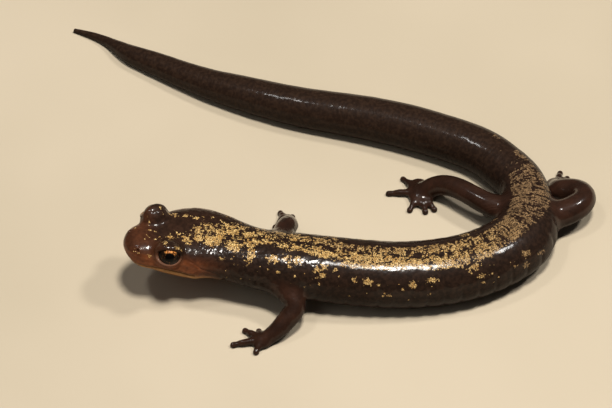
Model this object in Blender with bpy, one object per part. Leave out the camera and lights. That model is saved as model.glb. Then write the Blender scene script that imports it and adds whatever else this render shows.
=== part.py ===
"""Peaks of otter salamander, a still model at life size, with its head up and its tail swept round.

Lengths below are in millimetres. Each mesh is scaled to metres when it is finished.
X runs to the right, Y away from the viewer and Z up. The animal faces -X and rests on Z = 0.
"""
import math

import bmesh
import bpy
import numpy as np
from mathutils import Matrix, Vector

MM = 0.001
GAP = 0.3                       # clear space between neighbouring pieces
CENTRE = (2.04, 2.91)           # middle of the animal's box on the floor, moved to the origin

# The route of the body's axis, from the tip of the snout to the tip of the tail
SPINE = (
    (-18.33, -11.40, 6.90),     # tip of the snout
    (-14.66, -10.16, 5.95),     # between the eyes
    (-10.62, -9.38, 4.98),      # back of the skull
    (-5.71, -10.67, 4.50),      # neck
    (-0.61, -11.43, 3.95),      # behind the shoulders
    (5.51, -11.92, 3.36),
    (9.58, -11.98, 3.10),       # belly meets the floor
    (13.68, -11.59, 3.05),
    (17.83, -10.33, 3.00),
    (20.58, -8.67, 2.88),
    (22.50, -6.60, 2.72),
    (23.29, -4.08, 2.56),       # hips
    (23.32, -1.75, 2.42),
    (22.66, 1.09, 2.30),        # vent
    (21.18, 3.17, 2.24),
    (19.41, 5.01, 2.24),        # root of the tail
    (15.65, 7.18, 2.22),
    (10.17, 9.34, 2.20),
    (4.78, 10.85, 2.12),
    (-0.65, 12.18, 1.98),
    (-6.14, 14.09, 1.79),
    (-11.71, 16.55, 1.45),
    (-17.39, 19.76, 1.13),
    (-19.93, 21.29, 0.92),
    (-22.31, 23.39, 0.53),
    (-26.48, 25.58, 0.22),      # tip of the tail
)

# Distance from the snout, half width, rise of the back and drop of the belly from the axis
GIRTH = (
    (0.0, 2.15, 1.25, 1.45),    # snout, before its front is rounded
    (2.2, 2.45, 1.45, 2.05),
    (4.0, 3.12, 1.78, 2.60),    # eyes
    (7.0, 4.00, 2.10, 2.68),    # jaws
    (8.8, 3.90, 2.18, 2.42),
    (11.0, 3.48, 2.28, 2.30),   # throat
    (13.0, 3.28, 2.42, 2.70),
    (16.0, 3.35, 2.70, 3.05),   # shoulders
    (22.0, 3.50, 3.05, 3.25),
    (30.0, 3.52, 3.12, 3.30),
    (37.0, 3.50, 3.10, 3.25),
    (40.5, 3.48, 3.00, 3.12),
    (43.3, 3.42, 2.85, 2.95),
    (46.0, 2.98, 2.65, 2.75),   # hips
    (48.3, 2.65, 2.50, 2.60),
    (52.0, 2.52, 2.45, 2.48),
    (60.0, 2.45, 2.42, 2.42),   # tail
    (66.0, 2.42, 2.40, 2.40),
    (77.6, 2.15, 2.15, 2.15),
    (83.5, 1.96, 1.95, 1.95),
    (89.6, 1.60, 1.58, 1.58),
    (96.2, 1.26, 1.24, 1.24),
    (99.0, 1.03, 1.01, 1.01),
    (101.6, 0.66, 0.65, 0.65),
    (104.0, 0.44, 0.44, 0.44),
    (106.8, 0.25, 0.25, 0.25),
)
SNOUT_ROUNDING = 2.3            # length over which the front of the snout closes
HEAD_SQUARENESS = 2.35          # exponent of the head's sections, where 2 is an ellipse
BODY_SQUARENESS = 2.05
HEAD_LENGTH = 12.2
NECK_LENGTH = 2.5

# Creases in the flanks between the limbs, and across the throat
COSTAL_GROOVES = 19
FIRST_GROOVE, LAST_GROOVE = 17.4, 45.0
GROOVE_PITCH = (LAST_GROOVE - FIRST_GROOVE) / (COSTAL_GROOVES - 1)
GROOVE_DEPTH = 0.08
GULAR_FOLD, GULAR_DEPTH = 11.5, 0.20

# Places on the head: distance behind the snout, to the side and above the axis
EYE_PLACE = (3.90, 2.48, 1.12)
EYE_RADIUS = 1.22
EYE_GAP = 0.13
EYE_FORWARD, EYE_UP = 0.32, 0.60
EYE_STAND_OUT = 0.12            # how far the ball sits outside the middle of its mound
LID_RADIUS = 1.42
NOSTRIL_PLACE = (0.85, 46.0)    # distance behind the snout, and angle from the crown
NOSTRIL_RADIUS = 0.17
MOUTH_FRONT, MOUTH_CORNER = 0.42, 6.7
MOUTH_HEIGHT_FRONT, MOUTH_HEIGHT_CORNER = -0.80, -0.52
MOUTH_GROOVE = 0.13
LIP_SWELL = 0.10

BODY_SIDES = 20
TAIL_SIDES = 16
LIMB_SIDES = 12
TOE_SIDES = 8
LIMB_STEP = 0.6
TOE_STEP = 0.5
FINE_STEP = 0.05                # spacing of the points that a limb's axis is read from
JOINT_ROUNDING = 1.8            # length over which an elbow or a knee is rounded
HEAD_ANGLES = (0, 14, 28, 42, 56, 69, 80, 90, 98, 105, 112, 120, 131, 145, 162, 180)

# Lengths of the body and tail: name, where each starts and ends, spacing of its sections
LENGTHS = (
    ("neck", HEAD_LENGTH + GAP, HEAD_LENGTH + NECK_LENGTH, 0.7),
    ("torso_front", HEAD_LENGTH + NECK_LENGTH + GAP, 24.3, GROOVE_PITCH / 4),
    ("torso_middle", 24.6, 34.2, GROOVE_PITCH / 4),
    ("torso_rear", 34.5, 42.9, GROOVE_PITCH / 4),
    ("pelvis", 43.2, 51.6, GROOVE_PITCH / 4),
    ("tail_root", 51.9, 61.5, 1.2),
    ("tail_middle", 61.8, 77.3, 2.2),
    ("tail_rear", 77.6, 92.0, 1.8),
    ("tail_tip", 92.3, 106.8, 1.3),
)

# Each limb: the axis with its half thickness, where the joint is cut, the palm and the toes' tips
LIMBS = {
    "front_left": {
        "axis": (
            (-3.10, -12.60, 4.10, 1.20),
            (-2.25, -14.20, 3.60, 1.12),
            (-1.00, -15.75, 2.75, 1.06),
            (-2.05, -16.95, 1.80, 1.00),
            (-3.30, -17.95, 0.95, 0.86),
            (-4.45, -18.35, 0.45, 0.70),
        ),
        "joint": 0.50,
        "palm": (0.95, 0.95, 0.52),
        "toes": ((-4.78, -17.05), (-6.17, -17.03), (-7.37, -18.80), (-5.04, -19.69)),
        "near": 15.7,
    },
    "front_right": {
        "axis": (
            (-2.95, -10.20, 4.15, 1.20),
            (-2.55, -8.00, 4.25, 1.12),
            (-1.95, -6.15, 3.80, 1.06),
            (-1.80, -4.90, 2.40, 0.98),
            (-1.85, -3.75, 1.05, 0.86),
            (-2.10, -2.85, 0.45, 0.70),
        ),
        "joint": 0.50,
        "palm": (0.92, 0.95, 0.52),
        "toes": ((-2.95, -3.95), (-3.25, -3.40), (-2.70, -1.45), (-1.45, -2.00)),
        "near": 15.7,
    },
    "hind_right": {
        "axis": (
            (22.30, -2.90, 2.60, 1.42),
            (19.90, -2.62, 2.65, 1.27),
            (16.60, -0.45, 2.72, 1.12),
            (15.05, 0.65, 2.30, 1.10),
            (13.75, 1.30, 1.45, 1.08),
            (12.20, 1.15, 0.52, 0.90),
        ),
        "joint": 0.52,
        "palm": (1.40, 1.95, 0.60),
        "toes": ((13.60, -0.95), (12.65, -1.30), (11.00, -1.05), (8.80, 1.25), (10.40, 3.30)),
        "near": 46.5,
    },
    "hind_left": {
        "axis": (
            (23.90, -4.30, 2.60, 1.42),
            (26.90, -3.42, 2.62, 1.46),
            (29.25, -1.45, 2.70, 1.30),
            (28.50, 0.20, 2.10, 1.22),
            (26.85, 0.75, 1.40, 1.18),
            (26.75, 2.05, 0.52, 0.85),
        ),
        "joint": 0.50,
        "palm": (1.05, 1.25, 0.52),
        "toes": ((28.90, 1.75), (28.70, 2.75), (28.00, 3.35), (27.30, 4.10), (26.15, 2.85)),
        "near": 46.0,
    },
}
TOE_ROOT_RADIUS, TOE_TIP_RADIUS = 0.42, 0.27
TOE_TIP_HEIGHT, TOE_ARCH = 0.22, 0.12

# Colours, red, green and blue, of each part's skin
BACK_BROWN = (0.055, 0.032, 0.020)
HEAD_BROWN = (0.085, 0.042, 0.030)
LEG_BROWN = (0.080, 0.036, 0.028)
TAIL_BROWN = (0.032, 0.020, 0.014)
EYE_BLACK = (0.010, 0.008, 0.007)
SKIN_ROUGHNESS = 0.25
EYE_ROUGHNESS = 0.05


def clear_scene():
    for item in list(bpy.data.objects):
        bpy.data.objects.remove(item, do_unlink=True)


def spline_slopes(knots, values):
    """Second derivatives at the knots of the natural cubic spline through the values."""
    count = len(knots)
    step = np.diff(knots)
    system = np.eye(count)
    right = np.zeros_like(values)
    for i in range(1, count - 1):
        system[i, i - 1:i + 2] = step[i - 1], 2 * (step[i - 1] + step[i]), step[i]
        rise = (values[i + 1] - values[i]) / step[i]
        right[i] = 6 * (rise - (values[i] - values[i - 1]) / step[i - 1])
    return np.linalg.solve(system, right)


def spline(knots, values, at):
    """The natural cubic spline through the values, read at the places asked for."""
    bend = spline_slopes(knots, values)
    at = np.clip(np.asarray(at, float), knots[0], knots[-1])
    left = np.clip(np.searchsorted(knots, at, side="right") - 1, 0, len(knots) - 2)
    width = (knots[left + 1] - knots[left])[:, None]
    a = (knots[left + 1][:, None] - at[:, None]) / width
    b = 1 - a
    cubic = ((a ** 3 - a) * bend[left] + (b ** 3 - b) * bend[left + 1]) * width ** 2 / 6
    return a * values[left] + b * values[left + 1] + cubic


def lengths_along(points):
    """Distance of each point from the first, along the points."""
    steps = np.linalg.norm(np.diff(points, axis=0), axis=1)
    return np.concatenate([[0.0], np.cumsum(steps)])


SPINE_POINTS = np.array(SPINE) - (*CENTRE, 0.0)
SPINE_KNOTS = lengths_along(SPINE_POINTS)
GIRTH_TABLE = np.array(GIRTH)


def unit(vectors):
    return vectors / np.linalg.norm(vectors, axis=-1, keepdims=True)


def body_frame(s):
    """Axis point, left and up directions at distances s behind the snout."""
    s = np.atleast_1d(np.asarray(s, float))
    small = 0.05
    centre = spline(SPINE_KNOTS, SPINE_POINTS, s)
    ahead = spline(SPINE_KNOTS, SPINE_POINTS, s - small)
    behind = spline(SPINE_KNOTS, SPINE_POINTS, s + small)
    forward = unit(ahead - behind)
    left = unit(np.cross((0.0, 0.0, 1.0), forward))
    return centre, left, np.cross(forward, left)


def smooth_step(value, start, end):
    t = np.clip((value - start) / (end - start), 0.0, 1.0)
    return t * t * (3 - 2 * t)


def mouth_height(s):
    """Height of the line of the mouth from the axis."""
    t = np.clip((s - MOUTH_FRONT) / (MOUTH_CORNER - MOUTH_FRONT), 0.0, 1.0)
    return MOUTH_HEIGHT_FRONT + (MOUTH_HEIGHT_CORNER - MOUTH_HEIGHT_FRONT) * t


def girth(s):
    """Half width, rise and drop at distances s, with the snout rounded off."""
    size = spline(GIRTH_TABLE[:, 0], GIRTH_TABLE[:, 1:], s)
    t = np.clip(np.asarray(s) / SNOUT_ROUNDING, 0.0, 1.0)
    return size * np.sqrt(1 - (1 - t) ** 2.3)[:, None]


def squareness(s):
    return HEAD_SQUARENESS + (BODY_SQUARENESS - HEAD_SQUARENESS) * smooth_step(s, 8.0, 14.0)


def mouth_angle(s):
    """Angle from the crown, in radians, at which the line of the mouth lies."""
    drop = girth(s)[:, 2]
    share = np.clip(-mouth_height(s) / np.maximum(drop, 1e-6), 0.0, 1.0)
    return math.pi - np.arccos(share ** (squareness(s) / 2))


def grooves(s, angle):
    """How far the costal grooves and the gular fold sink in."""
    place = (s - FIRST_GROOVE) / GROOVE_PITCH
    comb = np.exp(-((place - np.round(place)) / 0.2) ** 2)
    comb *= smooth_step(s, FIRST_GROOVE - 0.8, FIRST_GROOVE) * (1 - smooth_step(s, LAST_GROOVE, LAST_GROOVE + 0.8))
    flank = smooth_step(np.abs(angle), math.radians(40), math.radians(75))
    flank *= 1 - smooth_step(np.abs(angle), math.radians(125), math.radians(150))
    throat = np.exp(-((s - GULAR_FOLD) / 0.45) ** 2) * smooth_step(np.abs(angle), math.radians(85), math.radians(125))
    return GROOVE_DEPTH * comb * flank + GULAR_DEPTH * throat


def lips(s, angle):
    """Swelling of the lips above and below the line of the mouth."""
    off = (np.abs(angle) - mouth_angle(s)) / math.radians(13)
    along = smooth_step(s, MOUTH_FRONT, MOUTH_FRONT + 0.6) * (1 - smooth_step(s, MOUTH_CORNER - 0.5, MOUTH_CORNER + 0.6))
    return LIP_SWELL * along * np.exp(-(np.abs(off) - 0.8) ** 2 * 2)


def skin_points(s, angle, extra=0.0):
    """Points of the skin at distances s and angles from the crown, turning to the left."""
    s, angle = np.broadcast_arrays(np.atleast_1d(np.asarray(s, float)), np.asarray(angle, float))
    centre, left, up = body_frame(s)
    size = girth(s) + (lips(s, angle) - grooves(s, angle) + extra)[:, None]
    power = 2 / squareness(s)
    sine, cosine = np.sin(angle), np.cos(angle)
    sideways = np.sign(sine) * np.abs(sine) ** power * size[:, 0]
    upward = np.sign(cosine) * np.abs(cosine) ** power * np.where(cosine > 0, size[:, 1], size[:, 2])
    return centre + left * sideways[:, None] + up * upward[:, None]


def head_point(behind, side, above):
    """A place given from the snout: distance behind it, to the left and above the axis."""
    centre, left, up = body_frame(behind)
    return (centre + left * side + up * above)[0]


def new_object(name, bm):
    bmesh.ops.recalc_face_normals(bm, faces=bm.faces)
    if bm.calc_volume(signed=True) < 0:
        bmesh.ops.reverse_faces(bm, faces=bm.faces)
    mesh = bpy.data.meshes.new(name)
    bm.to_mesh(mesh)
    bm.free()
    item = bpy.data.objects.new(name, mesh)
    bpy.context.scene.collection.objects.link(item)
    return item


def loft(name, rings, first_point=None, last_point=None):
    """A closed skin through rings of points. An end closes on a point, or flat where none is given."""
    bm = bmesh.new()
    loops = [[bm.verts.new(point) for point in ring] for ring in rings]
    for one, two in zip(loops, loops[1:]):
        for i in range(len(one)):
            j = (i + 1) % len(one)
            bm.faces.new((one[i], one[j], two[j], two[i]))
    for loop, point in ((loops[0], first_point), (loops[-1], last_point)):
        if point is None:
            bm.faces.new(loop)
            continue
        tip = bm.verts.new(point)
        for i in range(len(loop)):
            bm.faces.new((loop[i], loop[(i + 1) % len(loop)], tip))
    return new_object(name, bm)


def rest_on_floor(item):
    """Presses what is below the floor flat onto it."""
    for vertex in item.data.vertices:
        vertex.co.z = max(vertex.co.z, 0.0)


def sections(start, end, step):
    """Distances from start to end, with those between set on multiples of the step from the first groove."""
    first = math.ceil((start - FIRST_GROOVE) / step + 0.3)
    last = math.floor((end - FIRST_GROOVE) / step - 0.3)
    between = [FIRST_GROOVE + i * step for i in range(first, last + 1)]
    return [start, *between, end]


def body_length(name, start, end, step, sides, extra=0.0):
    """One length of the body or tail, cut square across its axis at both ends."""
    turns = np.linspace(-math.pi, math.pi, sides, endpoint=False)
    rings = [skin_points(s, turns, extra) for s in sections(start, end, step)]
    return loft(name, rings)


def combine(item, tools, operation):
    """Joins closed meshes to an object, or cuts them from it, in one Boolean, and removes them."""
    group = bpy.data.collections.new("tools")
    bpy.context.scene.collection.children.link(group)
    for tool in tools:
        bpy.context.scene.collection.objects.unlink(tool)
        group.objects.link(tool)
    modifier = item.modifiers.new("combine", "BOOLEAN")
    modifier.operand_type = "COLLECTION"
    modifier.collection = group
    modifier.operation = operation
    modifier.solver = "EXACT"
    bpy.context.view_layer.update()
    shape = item.evaluated_get(bpy.context.evaluated_depsgraph_get())
    mesh = bpy.data.meshes.new_from_object(shape)
    item.modifiers.clear()
    item.data = mesh
    for tool in tools:
        bpy.data.objects.remove(tool, do_unlink=True)
    bpy.data.collections.remove(group)
    keep_largest(item)


def keep_largest(item):
    """Drops every closed surface of the mesh but the one with the most faces."""
    bm = bmesh.new()
    bm.from_mesh(item.data)
    waiting = set(bm.faces)
    islands = []
    while waiting:
        island = {waiting.pop()}
        edge_of = list(island)
        while edge_of:
            face = edge_of.pop()
            for edge in face.edges:
                for other in edge.link_faces:
                    if other not in island:
                        island.add(other)
                        edge_of.append(other)
        waiting -= island
        islands.append(island)
    largest = max(islands, key=len)
    bmesh.ops.delete(bm, geom=[face for face in bm.faces if face not in largest], context="FACES")
    bm.to_mesh(item.data)
    bm.free()


def ball(name, centre, radii, forward, segments, rings):
    """An ellipsoid with its pole and its last radius along the forward direction, the first upward."""
    bm = bmesh.new()
    bmesh.ops.create_uvsphere(bm, u_segments=segments, v_segments=rings, radius=1.0)
    ahead = Vector(forward).normalized()
    side = Vector((0, 0, 1)).cross(ahead).normalized()
    turn = Matrix((ahead.cross(side), -side, ahead)).transposed().to_4x4()
    bm.transform(Matrix.Translation(centre) @ turn @ Matrix.Diagonal((*radii, 1.0)))
    return new_object(name, bm)


def tube(name, axis, radii, sides, rounded_end=False, first_way=None, last_way=None):
    """A round limb along an axis. Its ends may face a given way, and the last may be rounded."""
    forward = unit(np.gradient(axis, axis=0))
    if first_way is not None:
        forward[0] = first_way
    if last_way is not None:
        forward[-1] = last_way
    side = unit(np.cross((0.0, 0.0, 1.0), forward[0]))
    turns = (np.arange(sides) + 0.5) * 2 * math.pi / sides
    rings = []
    for centre, ahead, radius in zip(axis, forward, radii):
        side = unit(side - ahead * np.dot(side, ahead))
        over = np.cross(ahead, side)
        circle = np.outer(np.cos(turns), side) + np.outer(np.sin(turns), over)
        rings.append(centre + radius * circle)
    last_point = None
    if rounded_end:
        tip = axis[-1] + forward[-1] * radii[-1]
        rings.append(axis[-1] + forward[-1] * radii[-1] * 0.6 + (rings[-1] - axis[-1]) * 0.75)
        last_point = tip
    return loft(name, rings, last_point=last_point)


def mouth_cutter():
    """A thin round strip along the line of the mouth, from one corner round the snout to the other."""
    share = np.linspace(0, 1, 15)[1:]
    behind = MOUTH_FRONT + (MOUTH_CORNER - MOUTH_FRONT) * share ** 1.6
    angles = mouth_angle(behind)
    left = skin_points(behind, angles)
    right = skin_points(behind, -angles)
    middle = skin_points(MOUTH_FRONT, math.pi)
    line = np.concatenate([right[::-1], middle, left])
    knots = lengths_along(line)
    smooth = spline(knots, line, np.linspace(0, knots[-1], 44))
    return tube("mouth_cutter", smooth, np.full(len(smooth), MOUTH_GROOVE), 6)


def eye_axis(side):
    """The way an eye looks: outward, a little forward and up. Side is 1 on the left, -1 on the right."""
    origin = head_point(EYE_PLACE[0], 0, 0)
    outward = head_point(EYE_PLACE[0], side, 0) - origin
    upward = head_point(EYE_PLACE[0], 0, 1) - origin
    forward = np.cross(outward * side, upward)
    return unit(outward + forward * EYE_FORWARD + upward * EYE_UP)


def eye_middle(side):
    """The middle of an eyeball."""
    behind, sideways, above = EYE_PLACE
    return head_point(behind, side * sideways, above) + eye_axis(side) * EYE_STAND_OUT


def head():
    """The head, from the snout to the throat's fold, with lids, eye sockets, nostrils and mouth."""
    half = np.radians(HEAD_ANGLES)
    turns = np.concatenate([half, -half[-2:0:-1]])
    near_tip = [0.05, 0.16, 0.34, 0.58, 0.88, 1.25, 1.65, 2.1]
    along = near_tip + list(np.linspace(2.55, HEAD_LENGTH, 20))
    rings = [skin_points(s, turns) for s in along]
    item = loft("head", rings, first_point=skin_points(0.0, 0.0)[0])
    mounds = []
    tools = [mouth_cutter()]
    for side in (1, -1):
        place = head_point(EYE_PLACE[0], side * EYE_PLACE[1], EYE_PLACE[2])
        mounds.append(ball("mound", place, (LID_RADIUS,) * 3, eye_axis(side), 20, 14))
        socket = EYE_RADIUS + EYE_GAP
        tools.append(ball("socket", eye_middle(side), (socket,) * 3, eye_axis(side), 20, 14))
        behind, angle = NOSTRIL_PLACE
        nostril = skin_points(behind, side * math.radians(angle))[0]
        tools.append(ball("nostril", nostril, (NOSTRIL_RADIUS,) * 3, (1, 0, 0), 8, 6))
    combine(item, mounds, "UNION")
    combine(item, tools, "DIFFERENCE")
    return item


def eye(name, side):
    return ball(name, eye_middle(side), (EYE_RADIUS,) * 3, eye_axis(side), 18, 12)


def limb_axis(limb):
    """Points and half thicknesses along a limb, closely spaced, and its length."""
    rows = np.array(limb["axis"]) - (*CENTRE, 0.0, 0.0)
    knots = lengths_along(rows[:, :3])
    count = int(knots[-1] / FINE_STEP)
    dense = spline(knots, rows, np.linspace(0, knots[-1], count))
    reach = int(JOINT_ROUNDING / 2 / FINE_STEP)
    before = 2 * dense[0] - dense[reach:0:-1]
    after = 2 * dense[-1] - dense[-2:-reach - 2:-1]
    padded = np.concatenate([before, dense, after])
    total = np.cumsum(np.concatenate([np.zeros((1, 4)), padded]), axis=0)
    window = 2 * reach + 1
    rounded = (total[window:] - total[:-window]) / window
    return rounded, lengths_along(rounded[:, :3])


def limb_rows(limb, places):
    """Axis points with half thickness, and the way the axis runs, at distances along a limb."""
    dense, along = limb_axis(limb)
    rows = np.array([np.interp(places, along, dense[:, i]) for i in range(4)]).T
    way = unit(np.gradient(dense[:, :3], axis=0))
    ways = np.array([np.interp(places, along, way[:, i]) for i in range(3)]).T
    return rows, unit(ways)


def limb_piece(name, limb, start, end, first_way=None, last_way=None):
    """The stretch of a limb between two distances along it."""
    count = max(3, round((end - start) / LIMB_STEP) + 1)
    rows, _ = limb_rows(limb, np.linspace(start, end, count))
    return tube(name, rows[:, :3], rows[:, 3], LIMB_SIDES, first_way=first_way, last_way=last_way)


def toe(name, root, tip):
    """One toe, from inside the palm down to its rounded tip, with a low arch."""
    root, tip = np.array(root), np.array(tip)
    count = max(5, round(np.linalg.norm(tip - root) / TOE_STEP) + 1)
    share = np.linspace(0, 1, count)
    axis = root + (tip - root) * share[:, None]
    axis[:, 2] += TOE_ARCH * np.sin(math.pi * share)
    radii = TOE_ROOT_RADIUS + (TOE_TIP_RADIUS - TOE_ROOT_RADIUS) * share
    return tube(name, axis, radii, TOE_SIDES, rounded_end=True)


def foot(name, limb, start, end, first_way):
    """The wrist or ankle, the palm and the toes, fused."""
    item = limb_piece(name, limb, start, end, first_way=first_way)
    dense, _ = limb_axis(limb)
    palm = dense[-1, :3]
    forward = palm - dense[-12, :3]
    forward[2] = 0
    length, width, height = limb["palm"]
    pieces = [ball("palm", palm, (height, width, length), forward, 14, 9)]
    for i, place in enumerate(limb["toes"]):
        tip = (place[0] - CENTRE[0], place[1] - CENTRE[1], TOE_TIP_HEIGHT)
        root = palm + (np.array(tip) - palm) * 0.12
        pieces.append(toe(f"toe_{i}", root, tip))
    combine(item, pieces, "UNION")
    rest_on_floor(item)
    return item


def leg(side_name):
    """The upper leg cut clear of the body, the lower leg and the foot."""
    limb = LIMBS[side_name]
    length = limb_axis(limb)[1][-1]
    joint = limb["joint"] * length
    ankle = length - limb["palm"][0] - GAP / 2
    joint_way = limb_rows(limb, [joint])[1][0]
    ankle_way = limb_rows(limb, [ankle - GAP / 2])[1][0]
    upper = limb_piece(f"{side_name}_upper", limb, 0.0, joint - GAP / 2, last_way=joint_way)
    near = limb["near"]
    combine(upper, [body_length("clearance", near - 6, near + 6, GROOVE_PITCH / 4, BODY_SIDES, GAP)], "DIFFERENCE")
    lower = limb_piece(f"{side_name}_lower", limb, joint + GAP / 2, ankle - GAP, joint_way, ankle_way)
    return upper, lower, foot(f"{side_name}_foot", limb, ankle, length, ankle_way)


def skin(name, colour, roughness):
    """A material of one colour."""
    material = bpy.data.materials.new(name)
    material.use_nodes = True
    shader = material.node_tree.nodes["Principled BSDF"]
    shader.inputs["Base Color"].default_value = (*colour, 1.0)
    shader.inputs["Roughness"].default_value = roughness
    shader.inputs["Metallic"].default_value = 0.0
    material.diffuse_color = (*colour, 1.0)
    return material


def finish(item, colour, roughness):
    """Scales a piece to metres, shades it smooth and gives it its material."""
    item.data.transform(Matrix.Scale(MM, 4))
    item.data.shade_smooth()
    item.data.set_sharp_from_angle(angle=math.radians(50))
    item.data.materials.clear()
    item.data.materials.append(skin(f"{item.name}_skin", colour, roughness))


def build():
    clear_scene()
    finish(head(), HEAD_BROWN, SKIN_ROUGHNESS)
    finish(eye("eye_left", 1), EYE_BLACK, EYE_ROUGHNESS)
    finish(eye("eye_right", -1), EYE_BLACK, EYE_ROUGHNESS)
    for name, start, end, step in LENGTHS:
        is_tail = name.startswith("tail")
        item = body_length(name, start, end, step, TAIL_SIDES if is_tail else BODY_SIDES)
        rest_on_floor(item)
        finish(item, TAIL_BROWN if is_tail else BACK_BROWN, SKIN_ROUGHNESS)
    for side_name in LIMBS:
        for piece in leg(side_name):
            finish(piece, LEG_BROWN, SKIN_ROUGHNESS)


build()
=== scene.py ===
"""Looks of a peaks of otter salamander: one wet skin over head, body, tail and legs, and two eyes.

Lengths are in millimetres until a piece is finished, and in metres from there on.
X runs to the right, Y away from the viewer and Z up. The animal faces -X.
"""
import math

import bmesh
import bpy
import numpy as np
from mathutils import Matrix, Vector


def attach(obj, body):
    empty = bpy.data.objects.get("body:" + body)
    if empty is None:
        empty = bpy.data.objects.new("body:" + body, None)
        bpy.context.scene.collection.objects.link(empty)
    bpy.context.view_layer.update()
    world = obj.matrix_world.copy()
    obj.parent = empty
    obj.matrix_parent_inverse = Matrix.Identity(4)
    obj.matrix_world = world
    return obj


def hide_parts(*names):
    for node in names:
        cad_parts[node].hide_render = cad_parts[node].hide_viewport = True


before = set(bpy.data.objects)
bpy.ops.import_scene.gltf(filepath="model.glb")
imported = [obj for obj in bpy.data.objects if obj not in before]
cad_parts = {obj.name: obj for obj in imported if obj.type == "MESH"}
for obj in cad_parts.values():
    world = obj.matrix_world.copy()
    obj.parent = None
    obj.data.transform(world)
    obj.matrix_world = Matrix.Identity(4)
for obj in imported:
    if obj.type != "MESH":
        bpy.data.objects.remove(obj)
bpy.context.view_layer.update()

MM = 0.001
CENTRE = (2.04, 2.91)  # middle of the animal's box on the floor, moved to the origin

# The route of the body's axis, from the tip of the snout to the tip of the tail
SPINE = (
    (-18.33, -11.4, 6.9),  # tip of the snout
    (-14.66, -10.16, 5.95),  # between the eyes
    (-10.62, -9.38, 4.98),  # back of the skull
    (-5.71, -10.67, 4.5),  # neck
    (-0.61, -11.43, 3.95),  # behind the shoulders
    (5.51, -11.92, 3.36),
    (9.58, -11.98, 3.1),  # belly meets the floor
    (13.68, -11.59, 3.05), (17.83, -10.33, 3.0), (20.58, -8.67, 2.88),
    (22.5, -6.6, 2.72),
    (23.29, -4.08, 2.56),  # hips
    (23.32, -1.75, 2.42),
    (22.66, 1.09, 2.3),  # vent
    (21.18, 3.17, 2.24),
    (19.41, 5.01, 2.24),  # root of the tail
    (15.65, 7.18, 2.22), (10.17, 9.34, 2.2), (4.78, 10.85, 2.12),
    (-0.65, 12.18, 1.98), (-6.14, 14.09, 1.79), (-11.71, 16.55, 1.45),
    (-17.39, 19.76, 1.13), (-19.93, 21.29, 0.92), (-22.31, 23.39, 0.53),
    (-26.48, 25.58, 0.22),  # tip of the tail
)

# Distance from the snout, half width, rise of the back and drop of the belly from the axis
GIRTH = (
    (0.0, 2.15, 1.25, 1.45),  # snout, before its front is rounded
    (2.2, 2.45, 1.45, 2.05),
    (4.0, 3.12, 1.78, 2.6),  # eyes
    (7.0, 4.0, 2.1, 2.68),  # jaws
    (8.8, 3.9, 2.18, 2.42),
    (11.0, 3.48, 2.28, 2.3),  # throat
    (13.0, 3.28, 2.42, 2.7),
    (16.0, 3.35, 2.7, 3.05),  # shoulders
    (22.0, 3.5, 3.05, 3.25), (30.0, 3.52, 3.12, 3.3), (37.0, 3.5, 3.1, 3.25),
    (40.5, 3.48, 3.0, 3.12), (43.3, 3.42, 2.85, 2.95),
    (46.0, 2.98, 2.65, 2.75),  # hips
    (48.3, 2.65, 2.5, 2.6), (52.0, 2.52, 2.45, 2.48),
    (60.0, 2.45, 2.42, 2.42),  # tail
    (66.0, 2.42, 2.4, 2.4), (77.6, 2.15, 2.15, 2.15), (83.5, 1.96, 1.95, 1.95),
    (89.6, 1.6, 1.58, 1.58), (96.2, 1.26, 1.24, 1.24), (99.0, 1.03, 1.01, 1.01),
    (101.6, 0.66, 0.65, 0.65), (104.0, 0.44, 0.44, 0.44), (106.8, 0.25, 0.25, 0.25),
)
BODY_END = 106.8
SNOUT_ROUNDING = 2.3  # length over which the front of the snout closes
HEAD_SQUARENESS = 2.35  # exponent of the head's sections, where 2 is an ellipse
BODY_SQUARENESS = 2.05

# Creases in the flanks between the limbs, and across the throat
COSTAL_GROOVES = 19
FIRST_GROOVE, LAST_GROOVE = 17.4, 45.0
GROOVE_PITCH = (LAST_GROOVE - FIRST_GROOVE) / (COSTAL_GROOVES - 1)
GROOVE_DEPTH = 0.08
GULAR_FOLD, GULAR_DEPTH = 11.5, 0.15
NECK_FOLDS = ((12.6, 0.03), (13.6, 0.04), (14.7, 0.03))  # distance behind the snout, and depth
BACK_GROOVE_DEPTH, BACK_GROOVE_WIDTH = 0.05, 6  # along the middle of the back, its width in degrees
WRINKLE_GAP, WRINKLE_DEPTH = 0.85, 0.012  # on the inside of the bend at the hips

# Places on the head: distance behind the snout, to the side and above the axis
EYE_PLACE = (3.8, 2.48, 1.15)
EYE_RADIUS = 1.22
EYE_FORWARD, EYE_UP = 0.32, 0.6
CORNEA_BULGE, CORNEA_WIDTH = 0.05, 0.75
EYE_STAND_OUT = 0.12  # how far the ball sits outside the middle of its mound
LID_RADII = (1.41, 1.46, 1.43)  # the mound with the lids: outward, towards the snout and up
LID_STAND_OUT, LID_FORWARD = 0.1, 0.1
CUP_RADIUS = 1.05  # floor of the opening between the lids, hidden in the eyeball
OPENING_FRONT, OPENING_BACK, OPENING_UP, OPENING_DOWN = np.radians((64, 69, 32, 41))
NOSTRIL_PLACE = (0.85, 46.0)  # distance behind the snout, and angle from the crown
NOSTRIL_RADIUS, NOSTRIL_DEPTH = 0.12, 0.2
MOUTH_FRONT, MOUTH_CORNER = 0.42, 7.1
MOUTH_HEIGHTS = (-0.8, -0.52)  # from the axis, at its front and its corner
MOUTH_DEPTH, MOUTH_WIDTH = 0.12, 0.06
LIP_SWELL = 0.1
# Broad forms of the head: height, place and length behind the snout, place and width in degrees down
HEAD_FORMS = (
    (0.05, 7.4, 1.8, 92, 26),  # jaw muscles
    (0.07, 7.6, 2.0, 34, 20),  # the two sides of the crown
    (-0.07, 4.4, 1.6, 0, 22),  # dip between the eyes
    (-0.03, 1.9, 0.8, 44, 16),  # dip before the eyes
)

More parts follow.
